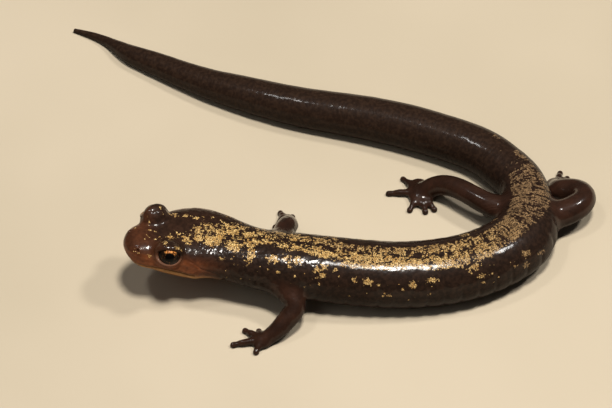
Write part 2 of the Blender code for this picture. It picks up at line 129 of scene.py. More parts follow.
# Each limb: the axis with its half thickness, the palm's half length, width and height, and the toes' tips
LIMBS = {
    "front_left": {
        "axis": (
            (-3.1, -12.6, 4.1, 1.2), (-2.25, -14.2, 3.6, 1.12), (-1.0, -15.75, 2.75, 1.06),
            (-2.05, -16.95, 1.8, 1.0), (-3.3, -17.95, 0.95, 0.86), (-4.45, -18.35, 0.45, 0.7),
        ),
        "palm": (0.95, 0.95, 0.52),
        "toes": ((-4.78, -17.05), (-6.17, -17.03), (-7.37, -18.8), (-5.04, -19.69)),
    },
    "front_right": {
        "axis": (
            (-2.95, -10.2, 4.15, 1.2), (-2.55, -8.0, 4.25, 1.12), (-1.95, -6.15, 3.8, 1.06),
            (-1.8, -4.9, 2.4, 0.98), (-1.85, -3.75, 1.05, 0.86), (-2.1, -2.85, 0.45, 0.7),
        ),
        "palm": (0.92, 0.95, 0.52),
        "toes": ((-2.95, -3.95), (-3.25, -3.4), (-2.7, -1.45), (-1.45, -2.0)),
    },
    "hind_right": {
        "axis": (
            (22.3, -2.9, 2.6, 1.42), (19.9, -2.62, 2.65, 1.27), (16.6, -0.45, 2.72, 1.12),
            (15.05, 0.65, 2.3, 1.1), (13.75, 1.3, 1.45, 1.08), (12.2, 1.15, 0.52, 0.9),
        ),
        "palm": (1.4, 1.95, 0.6),
        "toes": ((13.6, -0.95), (12.65, -1.3), (11.0, -1.05), (8.8, 1.25), (10.4, 3.3)),
    },
    "hind_left": {
        "axis": (
            (23.9, -4.3, 2.6, 1.42), (26.9, -3.42, 2.62, 1.46), (29.25, -1.45, 2.7, 1.3),
            (28.5, 0.2, 2.1, 1.22), (26.85, 0.75, 1.4, 1.18), (26.75, 2.05, 0.52, 0.85),
        ),
        "palm": (1.05, 1.25, 0.52),
        "toes": ((28.9, 1.75), (28.7, 2.75), (28.0, 3.35), (27.3, 4.1), (26.15, 2.85)),
    },
}
TOE_ROOT_RADIUS, TOE_TIP_RADIUS = 0.42, 0.27
TOE_TIP_HEIGHT, TOE_ARCH = 0.22, 0.12
JOINT_ROUNDING = 1.8  # length over which an elbow or a knee is rounded
FINE_STEP = 0.05  # spacing of the points that a limb's axis is read from

# How finely the skin is cut up, and how wide the fillets between its forms are
RING_GAP, FRONT_END = 0.3, 2.4  # gap between the body's rings, which are closer ahead of the second
VOXEL = 0.085
HEAD_FINE = 12.6  # ahead of this distance the skin is cut up twice as finely
LID_FINE = 1.75  # and within this distance of an eye's middle once more
LID_REACH = 1.9  # the lids end at this distance from it
LID_ROUNDS = 5
FACE_END, HEAD_END = 9.0, 12.0  # behind these the skin has no lids, and no relief of the head
LIMB_REACH = 4.2  # the skin this far round a limb's axis is fitted to the limb
SHOULDER_FILLET = 0.9
WRIST_FILLET = 0.45
TOE_FILLET = 0.28
LID_FILLET = 0.6
RIM_FILLET = 0.2

# The brassy bands of the back: distance behind the snout, then in degrees from the crown the far edge, the
# line between the bands and the near edge, then the strength of the far band, the near band and the line,
# and how dull the gold is
BANDS = (
    (7.0, -24, -9, 10, 0, 0, 0, 0.1),
    (9.5, -30, -9, 20, 0.42, 0.5, 0.3, 0),
    (13.0, -44, -11, 14, 0.5, 0.55, 0.5, 0),
    (15.4, -50, -11, 3, 0.62, 0.66, 0.6, 0),
    (18.1, -33, -10, 8, 0.66, 0.74, 0.7, 0),
    (19.8, -33, -10, 14, 0.68, 0.78, 0.6, 0),
    (21.6, -24, -5, 20, 0.7, 0.82, 0.5, 0.1),
    (24.0, -20, -3, 27, 0.72, 0.86, 0.45, 0.15),
    (27.0, -20, 1, 27, 0.72, 0.86, 0.4, 0.15),
    (30.0, -19, 3, 26, 0.72, 0.86, 0.45, 0.2),
    (33.5, -22, 3, 31, 0.72, 0.86, 0.4, 0.25),
    (36.0, -22, 2, 31, 0.72, 0.82, 0.35, 0.4),
    (38.3, -24, 0, 26, 0.74, 0.76, 0.25, 0.6),
    (40.0, -27, -2, 20, 0.76, 0.76, 0.15, 0.8),
    (42.2, -34, 0, 16, 0.72, 0.7, 0, 0.9),
    (44.1, -41, 0, 25, 0.76, 0.74, 0, 1),
    (45.6, -45, 0, 38, 0.78, 0.76, 0, 1),
    (47.3, -47, 0, 53, 0.78, 0.76, 0, 1),
    (49.2, -46, 0, 58, 0.76, 0.72, 0, 1),
    (50.6, -46, 0, 44, 0.62, 0.6, 0, 1),
    (51.8, -32, 0, 30, 0.2, 0.2, 0, 1),
    (53.5, -20, 0, 20, 0, 0, 0, 1),
)


def spline(knots, values, at):
    """The natural cubic spline through the values, read at the places asked for."""
    step = np.diff(knots)
    rise = np.diff(values, axis=0) / step[:, None]
    system, right = np.eye(len(knots)), np.zeros_like(values)
    inner = np.arange(1, len(knots) - 1)
    system[inner, inner - 1], system[inner, inner + 1] = step[:-1], step[1:]
    system[inner, inner] = 2 * (step[:-1] + step[1:])
    right[inner] = 6 * np.diff(rise, axis=0)
    bend = np.linalg.solve(system, right)
    at = np.clip(at, knots[0], knots[-1])
    left = np.clip(np.searchsorted(knots, at, side="right") - 1, 0, len(knots) - 2)
    width = step[left][:, None]
    a = (knots[left + 1] - at)[:, None] / width
    b = 1 - a
    cubic = ((a ** 3 - a) * bend[left] + (b ** 3 - b) * bend[left + 1]) * width ** 2 / 6
    return a * values[left] + b * values[left + 1] + cubic


def lengths(vectors):
    return np.linalg.norm(vectors, axis=-1)


def unit(vectors):
    return vectors / np.maximum(lengths(vectors), 1e-12)[..., None]


def lengths_along(points):
    """Distance of each point from the first, along the points."""
    return np.concatenate([[0.0], np.cumsum(lengths(np.diff(points, axis=0)))])


SPINE_POINTS = np.array(SPINE) - (*CENTRE, 0.0)
SPINE_KNOTS = lengths_along(SPINE_POINTS)
GIRTH_TABLE = np.array(GIRTH)
BAND_TABLE = np.array(BANDS)


def body_frame(s):
    """Axis point, left and up directions at distances s behind the snout."""
    s = np.atleast_1d(s)
    ahead, centre, behind = (spline(SPINE_KNOTS, SPINE_POINTS, s + off) for off in (-0.05, 0, 0.05))
    forward = unit(ahead - behind)
    left = unit(np.cross((0.0, 0.0, 1.0), forward))
    return centre, left, np.cross(forward, left)


def ramp(value, start, end):
    """0 up to the start, 1 from the end on. It falls where the end lies before the start."""
    t = np.clip((value - start) / (end - start), 0.0, 1.0)
    return t * t * (3 - 2 * t)


def between(value, rise, fall):
    """1 between the two ranges over which it rises and falls, and 0 outside them."""
    return ramp(value, *rise) * ramp(value, *fall[::-1])


def hump(value, middle, reach):
    """A smooth hump of height 1."""
    return np.exp(-((value - middle) / reach) ** 2)


def girth(s):
    """Half width, rise and drop at distances s, with the snout rounded off."""
    size = spline(GIRTH_TABLE[:, 0], GIRTH_TABLE[:, 1:], s)
    t = np.clip(s / SNOUT_ROUNDING, 0, 1)
    return size * np.sqrt(1 - (1 - t) ** 2.3)[:, None]


def squareness(s):
    return HEAD_SQUARENESS + (BODY_SQUARENESS - HEAD_SQUARENESS) * ramp(s, 8.0, 14.0)


def skin_points(s, angle):
    """Points of the plain skin at distances s and angles to the left of the crown."""
    s, angle = np.broadcast_arrays(np.atleast_1d(s), angle)
    centre, left, up = body_frame(s)
    size = girth(s)
    power = 2 / squareness(s)
    sine, cosine = np.sin(angle), np.cos(angle)
    sideways = np.sign(sine) * np.abs(sine) ** power * size[:, 0]
    upward = np.sign(cosine) * np.abs(cosine) ** power * np.where(cosine > 0, size[:, 1], size[:, 2])
    return centre + left * sideways[:, None] + up * upward[:, None]


def head_point(behind, side, above):
    """The place so far behind the snout, to the left and above the axis."""
    centre, left, up = body_frame(behind)
    return (centre + left * side + up * above)[0]


def eye_ways(side):
    """The ways out of an eye, to the snout and up its face. Side is 1 on the left and -1 on the right."""
    origin, outward, upward = (head_point(EYE_PLACE[0], *off) for off in ((0, 0), (side, 0), (0, 1)))
    outward, upward = outward - origin, upward - origin
    forward = np.cross(outward * side, upward)
    out = unit(outward + forward * EYE_FORWARD + upward * EYE_UP)
    across = unit(np.cross(upward, out)) * -side
    return np.array([out, across, np.cross(out, across) * -side])


def eye_middle(side, stand_out=EYE_STAND_OUT):
    """The middle of an eyeball, or of its mound."""
    behind, sideways, above = EYE_PLACE
    return head_point(behind, side * sideways, above) + eye_ways(side)[0] * stand_out


def lid_mound(side):
    """Middle, ways and radii of the mound that carries an eye's lids."""
    ways = eye_ways(side)
    return eye_middle(side, LID_STAND_OUT) + ways[1] * LID_FORWARD, ways, LID_RADII


def limb_axis(limb):
    """Points and half thicknesses along a limb, closely spaced."""
    rows = np.array(limb["axis"]) - (*CENTRE, 0.0, 0.0)
    knots = lengths_along(rows[:, :3])
    dense = spline(knots, rows, np.linspace(0, knots[-1], int(knots[-1] / FINE_STEP)))
    reach = int(JOINT_ROUNDING / 2 / FINE_STEP)
    before = 2 * dense[0] - dense[reach:0:-1]
    after = 2 * dense[-1] - dense[-2:-reach - 2:-1]
    window = np.full(2 * reach + 1, 1 / (2 * reach + 1))
    padded = np.concatenate([before, dense, after])
    return np.column_stack([np.convolve(column, window, "valid") for column in padded.T])


def toe_axis(palm, place):
    """Points and half thicknesses along a toe, from inside the palm."""
    tip = np.array((*np.subtract(place, CENTRE), TOE_TIP_HEIGHT))
    root = palm + (tip - palm) * 0.12
    share = np.linspace(0, 1, 40)
    axis = root + (tip - root) * share[:, None]
    axis[:, 2] += TOE_ARCH * np.sin(math.pi * share)
    radii = np.linspace(TOE_ROOT_RADIUS, TOE_TIP_RADIUS, 40)
    radii += 0.035 * hump(share, 0.62, 0.09) + 0.05 * hump(share, 1.0, 0.12) - 0.03 * hump(share, 0.84, 0.07)
    return np.column_stack([axis, radii])


# Raw forms


def configured(thing, **settings):
    for key, value in settings.items():
        setattr(thing, key, value)
    return thing


def linked(name, data):
    """A new object in the scene."""
    item = bpy.data.objects.new(name, data)
    bpy.context.scene.collection.objects.link(item)
    return item


def new_object(name, bm):
    bmesh.ops.recalc_face_normals(bm, faces=bm.faces)
    if bm.calc_volume(signed=True) < 0:
        bmesh.ops.reverse_faces(bm, faces=bm.faces)
    mesh = bpy.data.meshes.new(name)
    bm.to_mesh(mesh)
    bm.free()
    return linked(name, mesh)


def loft(name, rings):
    """A closed skin through rings of points."""
    bm = bmesh.new()
    loops = [[bm.verts.new(point) for point in ring] for ring in rings]
    for one, two in zip(loops, loops[1:]):
        for i in range(len(one)):
            j = (i + 1) % len(one)
            bm.faces.new((one[i], one[j], two[j], two[i]))
    bm.faces.new(loops[0])
    bm.faces.new(loops[-1])
    return new_object(name, bm)


def ball(name, centre, ways, radii, segments=48, rings=32):
    """An ellipsoid whose radii lie along the given ways, with its pole along the first."""
    bm = bmesh.new()
    bmesh.ops.create_uvsphere(bm, u_segments=segments, v_segments=rings, radius=1.0)
    turn = Matrix([Vector(way) * radius for way, radius in zip(ways, radii)]).transposed().to_4x4()
    bm.transform(Matrix.Translation(centre) @ turn @ Matrix.Rotation(math.pi / 2, 4, "Y"))
    return new_object(name, bm)


def tube(name, rows, sides=28):
    """A round limb or toe through axis points with half thicknesses, and its rounded end."""
    axis, radii = rows[:, :3], rows[:, 3]
    forward = unit(np.gradient(axis, axis=0))
    side = unit(np.cross((0.0, 0.0, 1.0), forward[0]))
    turns = (np.arange(sides) + 0.5) * 2 * math.pi / sides
    rings = []
    for centre, ahead, radius in zip(axis, forward, radii):
        side = unit(side - ahead * np.dot(side, ahead))
        over = np.cross(ahead, side)
        rings.append(centre + radius * (np.outer(np.cos(turns), side) + np.outer(np.sin(turns), over)))
    end, round_off = rings[-1] - axis[-1], forward[-1] * radii[-1]
    for share in (0.3, 0.55, 0.75, 0.9, 0.98):
        rings.append(axis[-1] + round_off * share + end * math.sqrt(1 - share ** 2))
    return loft(name, rings)


def modify(item, kind, **settings):
    """Applies a modifier to an object."""
    configured(item.modifiers.new(kind, kind), **settings)
    bpy.context.view_layer.update()
    mesh = bpy.data.meshes.new_from_object(item.evaluated_get(bpy.context.evaluated_depsgraph_get()))
    item.modifiers.clear()
    item.data = mesh


def combine(item, tools, operation):
    """Joins closed meshes to an object, or cuts them from it, and removes them."""
    group = bpy.data.collections.new("tools")
    bpy.context.scene.collection.children.link(group)
    for tool in tools:
        group.objects.link(tool)
    modify(item, "BOOLEAN", operand_type="COLLECTION", collection=group, operation=operation, solver="EXACT")
    for tool in tools:
        bpy.data.objects.remove(tool)
    bpy.data.collections.remove(group)


def palm_ways(limb):
    """Middle of a foot's palm, and its ways forward, to the side and up."""
    axis = limb_axis(limb)[:, :3]
    palm = axis[-1]
    forward = unit((palm - axis[-12]) * (1, 1, 0))
    return palm, np.array([forward, np.cross((0, 0, 1), forward), (0, 0, 1)])


def opening_ring(side, reach, share):
    """Points round a share of the lids' opening, at a distance from the eye's middle."""
    turns = np.arange(64) * 2 * math.pi / 64
    across, high = np.cos(turns) * share, np.sin(turns) * share
    across *= np.where(across > 0, OPENING_FRONT, OPENING_BACK)
    high *= np.where(high > 0, OPENING_UP, OPENING_DOWN)
    local = (np.cos(high) * np.cos(across), np.cos(high) * np.sin(across), np.sin(high))
    return eye_middle(side) + reach * np.column_stack(local) @ eye_ways(side)


def raw_skin():
    """Body, lids, legs and toes as closed forms, remeshed into one surface."""
    turns = np.linspace(-math.pi, math.pi, 96, endpoint=False)
    front = FRONT_END * np.linspace(0.06, 1, 16) ** 2
    along = np.concatenate([front, np.arange(FRONT_END + RING_GAP, BODY_END, RING_GAP), [BODY_END]])
    item = loft("skin", [skin_points(s, turns) for s in along])
    mounds, openings, cups = [], [], []
    for side in (1, -1):
        ways, middle = eye_ways(side), eye_middle(side)
        mounds.append(ball("mound", *lid_mound(side)))
        rings = ((0.3, 1.0), (2.2, 1.0), (2.2, 0.7), (2.2, 0.4), (2.2, 0.1))
        openings.append(loft("opening", [opening_ring(side, reach, share) for reach, share in rings]))
        cups.append(ball("cup", middle, ways, (CUP_RADIUS,) * 3))
    combine(item, mounds, "UNION")
    combine(item, openings, "DIFFERENCE")
    combine(item, cups, "UNION")
    pieces = []
    for limb in LIMBS.values():
        pieces.append(tube("limb", limb_axis(limb)[::6]))
        palm, ways = palm_ways(limb)
        pieces.append(ball("palm", palm, ways, limb["palm"]))
        pieces += [tube("toe", toe_axis(palm, place)[::3], 16) for place in limb["toes"]]
    bm = bmesh.new()
    bm.from_mesh(item.data)
    for piece in pieces:
        bm.from_mesh(piece.data)
        bpy.data.objects.remove(piece)
    bm.to_mesh(item.data)
    bm.free()
    modify(item, "REMESH", mode="VOXEL", voxel_size=VOXEL)
    return item


def read(items, key, width, kind):
    """One value of each of a mesh's items, as the rows of an array."""
    flat = np.empty(len(items) * width, kind)
    items.foreach_get(key, flat)
    return flat.reshape(-1, width)


def points_of(mesh):
    return read(mesh.vertices, "co", 3, np.float32).astype(float)


def normals_of(mesh):
    return read(mesh.vertex_normals, "vector", 3, np.float32).astype(float)


def edges_of(mesh):
    return read(mesh.edges, "vertices", 2, np.int32)


def set_points(mesh, points):
    mesh.vertices.foreach_set("co", points.astype(np.float32).ravel())
    mesh.update()


def store(mesh, **values):
    """Keeps a value for each point under each name, for a material to read."""
    for name, value in values.items():
        layer = mesh.attributes.new(name, "FLOAT", "POINT")
        layer.data.foreach_set("value", value.astype(np.float32))


def refine(mesh, fine):
    """Cuts up once more the faces whose corners are all marked."""
    bm = bmesh.new()
    bm.from_mesh(mesh)
    faces = [face for face in bm.faces if all(fine[v.index] for v in face.verts)]
    edges = list(dict.fromkeys(edge for face in faces for edge in face.edges))
    bmesh.ops.subdivide_edges(bm, edges=edges, cuts=1, use_grid_fill=True)
    bm.to_mesh(mesh)
    bm.free()


# Where a point lies on the body


def off_axis(points, s):
    """Offsets ahead, to the left and up from the axis at distances s, and these three ways."""
    centre, left, up = body_frame(s)
    ways = np.cross(left, up), left, up
    return [((points - centre) * way).sum(1) for way in ways], ways


def along_body(points, near=None, turns=3):
    """Distance behind the snout of the place on the axis nearest to each point."""
    if near is None:
        places = np.arange(0.0, BODY_END, 0.25)
        axis = spline(SPINE_KNOTS, SPINE_POINTS, places)
        square = (axis ** 2).sum(1)
        near = np.empty(len(points))
        for part in np.array_split(np.arange(len(points)), max(1, len(points) // 40000)):
            near[part] = places[(square - 2 * points[part] @ axis.T).argmin(1)]
    for _ in range(turns):
        near = np.clip(near - off_axis(points, near)[0][0], 0.02, BODY_END)
    return near


def body_place(points, s):
    """Sideways and upward offsets from the axis, and the angle from the crown."""
    (_, side, rise), _ = off_axis(points, s)
    size = girth(s)
    height = np.where(rise > 0, size[:, 1], size[:, 2])
    power = squareness(s) / 2
    across = np.sign(side) * (np.abs(side) / size[:, 0]) ** power
    over = np.sign(rise) * (np.abs(rise) / height) ** power
    return side, rise, np.arctan2(across, over)


# Fields: how far points lie outside a form, and the way outward


def body_field(points, s):
    (_, side, rise), (ahead, left, up) = off_axis(points, s)
    size = girth(s)
    small = 0.02
    growth = (girth(s + small) - girth(np.maximum(s - small, 0.0))) / (2 * small)
    above = rise > 0
    height = np.where(above, size[:, 1], size[:, 2])
    height_growth = np.where(above, growth[:, 1], growth[:, 2])
    power = squareness(s)
    a, b = np.abs(side) / size[:, 0], np.abs(rise) / height
    level = np.maximum(a ** power + b ** power, 1e-9) ** (1 / power)
    shrink = level ** (1 - power)
    slope_side = np.sign(side) * a ** (power - 1) / size[:, 0] * shrink
    slope_rise = np.sign(rise) * b ** (power - 1) / height * shrink
    slope_along = -(a ** power * growth[:, 0] / size[:, 0] + b ** power * height_growth / height) * shrink
    outward = left * slope_side[:, None] + up * slope_rise[:, None] - ahead * slope_along[:, None]
    steep = lengths(outward)
    trust = between(s, (0.1, 0.45), (BODY_END - 0.5, BODY_END - 0.2))
    return (level - 1) / steep * trust, outward / steep[:, None]


def tube_field(points, rows):
    axis, radii = rows[:, :3], rows[:, 3]
    way = unit(np.gradient(axis, axis=0))
    step = lengths(axis[1] - axis[0])
    near = ((axis ** 2).sum(1) - 2 * points @ axis.T).argmin(1)
    slide = np.clip(((points - axis[near]) * way[near]).sum(1), -step, step)
    slide[(near == len(axis) - 1) & (slide > 0)] = 0
    centre = axis[near] + way[near] * slide[:, None]
    radius = radii[near] + np.gradient(radii)[near] / step * slide
    away = points - centre
    return lengths(away) - radius, unit(away)


def ellipsoid_field(points, centre, ways, radii):
    local = (points - centre) @ ways.T
    radii = np.array(radii)
    first = lengths(local / radii)
    second = np.maximum(lengths(local / radii ** 2), 1e-9)
    return first * (first - 1) / second, (local / radii ** 2 / second[:, None]) @ ways


def fused(one, two, fillet):
    """Two fields joined with a fillet, and the share of the first."""
    share = np.clip(0.5 + 0.5 * (two[0] - one[0]) / fillet, 0, 1)
    distance = two[0] + (one[0] - two[0]) * share - fillet * share * (1 - share)
    return distance, one[1] * share[:, None] + two[1] * (1 - share)[:, None], share


def carved(one, two, fillet):
    """The first field with the second cut out of it."""
    distance, outward, _ = fused((-one[0], -one[1]), two, fillet)
    return -distance, -outward


def opening_field(points, side):
    """How far a point lies outside the cone between the lids."""
    ways = eye_ways(side)
    local = (points - eye_middle(side)) @ ways.T
    reach = lengths(local)
    across = np.arctan2(local[:, 1], local[:, 0])
    high = np.arcsin(np.clip(local[:, 2] / np.maximum(reach, 1e-6), -1, 1))
    width = np.where(across > 0, OPENING_FRONT, OPENING_BACK)
    height = np.where(high > 0, OPENING_UP, OPENING_DOWN)
    level = np.maximum(np.hypot(across / width, high / height), 1e-6)
    distance = np.hypot(across, high) * (1 - 1 / level) * reach
    lean = unit(np.column_stack([np.zeros(len(local)), across / width ** 2, high / height ** 2]))
    return distance, lean @ ways


def head_field(points, field):
    """The head's field with the eyes' mounds joined on and the lids' openings cut out."""
    for side in (1, -1):
        field = fused(field, ellipsoid_field(points, *lid_mound(side)), LID_FILLET)[:2]
        off = points - eye_middle(side)
        reach = lengths(off)
        opening, lean = opening_field(points, side)
        wall = opening > CUP_RADIUS - reach
        cut = np.where(wall, opening, CUP_RADIUS - reach)
        field = carved(field, (cut, np.where(wall[:, None], lean, -unit(off))), RIM_FILLET)
    return field


def limb_field(points, limb):
    """Leg, palm and toes as one field."""
    field = tube_field(points, limb_axis(limb)[::3])
    palm, ways = palm_ways(limb)
    field = fused(field, ellipsoid_field(points, palm, ways, limb["palm"]), WRIST_FILLET)[:2]
    for place in limb["toes"]:
        field = fused(field, tube_field(points, toe_axis(palm, place)), TOE_FILLET)[:2]
    return field


def drawn_in(points, distance, outward):
    """The points moved along a field's way outward, onto its surface."""
    steep = np.maximum((outward ** 2).sum(1), 0.2)
    return points - outward * (np.clip(distance, -0.25, 0.25) / steep)[:, None]


def shape_skin(points):
    """The points moved onto the smooth forms, their place along the body and its share of each."""
    s = along_body(points)
    limbs = []
    for limb in LIMBS.values():
        axis = limb_axis(limb)[:, :3]
        inside = (points > axis.min(0) - LIMB_REACH) & (points < axis.max(0) + LIMB_REACH)
        limbs.append((limb, np.flatnonzero(inside.all(1))))
    head = np.flatnonzero(s < FACE_END)
    for _ in range(4):
        share = np.ones(len(points))
        s = along_body(points, s, 1)
        distance, outward = body_field(points, s)
        distance[head], outward[head] = head_field(points[head], (distance[head], outward[head]))
        for limb, near in limbs:
            own = limb_field(points[near], limb)
            joined = fused((distance[near], outward[near]), own, SHOULDER_FILLET)
            distance[near], outward[near] = joined[:2]
            share[near] *= joined[2]
        points = drawn_in(points, distance, outward)
    return points, along_body(points, s, 1), share


def smoothed(points, edges, rounds, weight):
    """Points drawn towards the mean of their neighbours."""
    count = np.bincount(edges.ravel(), minlength=len(points))
    weight = np.broadcast_to(weight, len(points))[:, None]
    one, two = np.concatenate([edges, edges[:, ::-1]]).T
    for _ in range(rounds):
        total = np.column_stack([np.bincount(one, points[two, i], len(points)) for i in range(3)])
        points = points + (total / count[:, None] - points) * weight
    return points


def by_the_eyes(points, reach):
    """Marks the points that lie within reach of an eye's middle."""
    return np.minimum(*(lengths(points - eye_middle(side)) for side in (1, -1))) < reach


def even_lids(points, edges):
    """Spreads the points round the eyes evenly over the lids."""
    near = by_the_eyes(points, LID_REACH)
    for _ in range(LID_ROUNDS):
        points = smoothed(points, edges, 3, 0.5 * near)
        for _ in range(2):
            part = points[near]
            points[near] = drawn_in(part, *head_field(part, body_field(part, along_body(part))))
    return smoothed(points, edges, 3, 0.4 * near)


# Relief


def lattice_noise(points, size, seed):
    """Smooth seeded noise from -1 to 1, with lumps of about the given size."""
    table = np.random.default_rng(seed).uniform(-1, 1, 4096)
    cell = points / size
    base = np.floor(cell).astype(np.int64)
    t = ramp(cell - base, 0, 1)
    total = np.zeros(len(points))
    for corner in np.ndindex(2, 2, 2):
        at = base + corner
        draw = table[(at[:, 0] * 73856093 ^ at[:, 1] * 19349663 ^ at[:, 2] * 83492791) & 4095]
        total += draw * np.prod(np.where(corner, t, 1 - t), axis=1)
    return total


def mouth_height(s):
    """Height of the line of the mouth from the axis."""
    return np.interp(s, (MOUTH_FRONT, MOUTH_CORNER), MOUTH_HEIGHTS)


def band_row(s):
    """The bands' edges, strengths and dullness at distances s."""
    return [np.interp(s, BAND_TABLE[:, 0], column) for column in BAND_TABLE[:, 1:].T]


def costal_relief(s, angle):
    """Grooves in the flanks, with the muscle between them a little full."""
    place = (s - FIRST_GROOVE) / GROOVE_PITCH
    off = np.abs(place - np.round(place))
    along = between(s, (FIRST_GROOVE - 0.8, FIRST_GROOVE), (LAST_GROOVE, LAST_GROOVE + 0.8))
    flank = between(np.abs(np.degrees(angle)), (42, 80), (112, 140))
    return along * flank * (0.02 * ramp(off, 0.1, 0.5) - GROOVE_DEPTH * hump(off, 0, 0.12))


def throat_relief(s, angle):
    """The fold across the throat, and slacker folds on the neck behind it."""
    turn = np.abs(np.degrees(angle))
    bent = s + 0.5 * np.cos(angle)
    fold = -GULAR_DEPTH * hump(bent, GULAR_FOLD, 0.2) + 0.04 * hump(bent, GULAR_FOLD - 0.55, 0.4)
    total = fold * ramp(turn, 80, 120)
    for place, depth in NECK_FOLDS:
        total -= depth * hump(bent, place, 0.13) * hump(turn, 95, 38)
    return total


def head_relief(s, angle, rise):
    """The head's broad forms, the crease behind the eye, and the mouth with its lips."""
    turn = np.abs(np.degrees(angle))
    total = 0.0
    for height, behind, length, down, width in HEAD_FORMS:
        total += height * hump(s, behind, length) * hump(turn, down, width)
    crease = 62 + 5.0 * (s - 5.6)
    total -= 0.06 * hump(turn, crease, 3.0) * between(s, (5.6, 6.3), (10.6, 11.4))
    off = rise - mouth_height(s)
    open_share = ramp(s, MOUTH_CORNER + 0.5, MOUTH_CORNER - 0.1)
    total -= MOUTH_DEPTH * hump(off, 0, MOUTH_WIDTH) * open_share
    along = between(s, (0.2, 1.0), (MOUTH_CORNER - 0.6, MOUTH_CORNER + 0.5))
    total += LIP_SWELL * along * (hump(off, 0.32, 0.26) + 0.55 * hump(off, -0.3, 0.22))
    return total


def near_eye(points, side, reach):
    """The points round an eye, how far they lie outside its opening and how high on its face."""
    off = points - eye_middle(side)
    near = np.flatnonzero((off ** 2).sum(1) < reach ** 2)
    return near, opening_field(points[near], side)[0], off[near] @ eye_ways(side)[2]


def lid_relief(points):
    """The roll and the furrow along the upper lid, and the thin roll along the lower lid."""
    total = np.zeros(len(points))
    for side in (1, -1):
        near, out, high = near_eye(points, side, 2.6)
        upper = ramp(high, 0.0, 0.5)
        roll = upper * (0.085 * hump(out, 0.42, 0.34) - 0.015 * hump(out, 0.95, 0.17))
        roll += (1 - upper) * (0.03 * hump(out, 0.16, 0.1) - 0.025 * hump(out, 0.4, 0.11))
        total[near] += roll * ramp(lengths(points[near] - eye_middle(side)), 2.5, LID_REACH)
    return total


def nostril(side, behind=0.0, lower=0.0):
    """A nostril's middle, or a place behind and below it."""
    return skin_points(NOSTRIL_PLACE[0] + behind, side * math.radians(NOSTRIL_PLACE[1] + lower))[0]


def nostril_relief(points):
    """Nostrils with a low rim, and the groove from each down to the lip."""
    total = np.zeros(len(points))
    for side in (1, -1):
        middle, lip = nostril(side), nostril(side, 0.35, 34)
        off = lengths(points - middle)
        total += 0.05 * hump(off, NOSTRIL_RADIUS * 2, 0.1) - NOSTRIL_DEPTH * hump(off, 0, NOSTRIL_RADIUS)
        run = lip - middle
        share = np.clip((points - middle) @ run / (run @ run), 0, 1)
        gap = lengths(points - middle - run * share[:, None])
        total -= 0.04 * hump(gap, 0, 0.06)
    return total


def bend_wrinkles(s, angle, points):
    """Small folds on the inside of the bend at the hips."""
    inner = between(-np.degrees(angle), (40, 85), (130, 165))
    along = between(s, (38.0, 41.5), (52.5, 56.0))
    wave = np.sin(2 * math.pi * s / WRINKLE_GAP + 1.5 * lattice_noise(points, 1.6, 5))
    return -WRINKLE_DEPTH * inner * along * ramp(wave, 0.1, 1.0)


def pebbled(s):
    """Where the skin is coarser: from the back of the head to the shoulders."""
    return between(s, (5.5, 7.5), (17.0, 22.0))


def relief(points, s, angle, rise, share):
    """How far the skin stands out from the plain forms."""
    body = costal_relief(s, angle) + throat_relief(s, angle) + bend_wrinkles(s, angle, points)
    spine = between(s, (12.0, 16.0), (46.0, 52.0))
    body -= BACK_GROOVE_DEPTH * spine * hump(np.degrees(angle), band_row(s)[1], BACK_GROOVE_WIDTH)
    head = s < HEAD_END
    body[head] += head_relief(s[head], angle[head], rise[head])
    total = body * ramp(share, 0.55, 0.95)
    total[head] += nostril_relief(points[head]) + lid_relief(points[head])
    total += 0.018 * lattice_noise(points, 1.3, 1)
    pebbles = 1 + 1.8 * pebbled(s)
    total += pebbles * (0.007 * lattice_noise(points, 0.45, 2) + 0.004 * lattice_noise(points, 0.22, 3))
    return total


# Markings


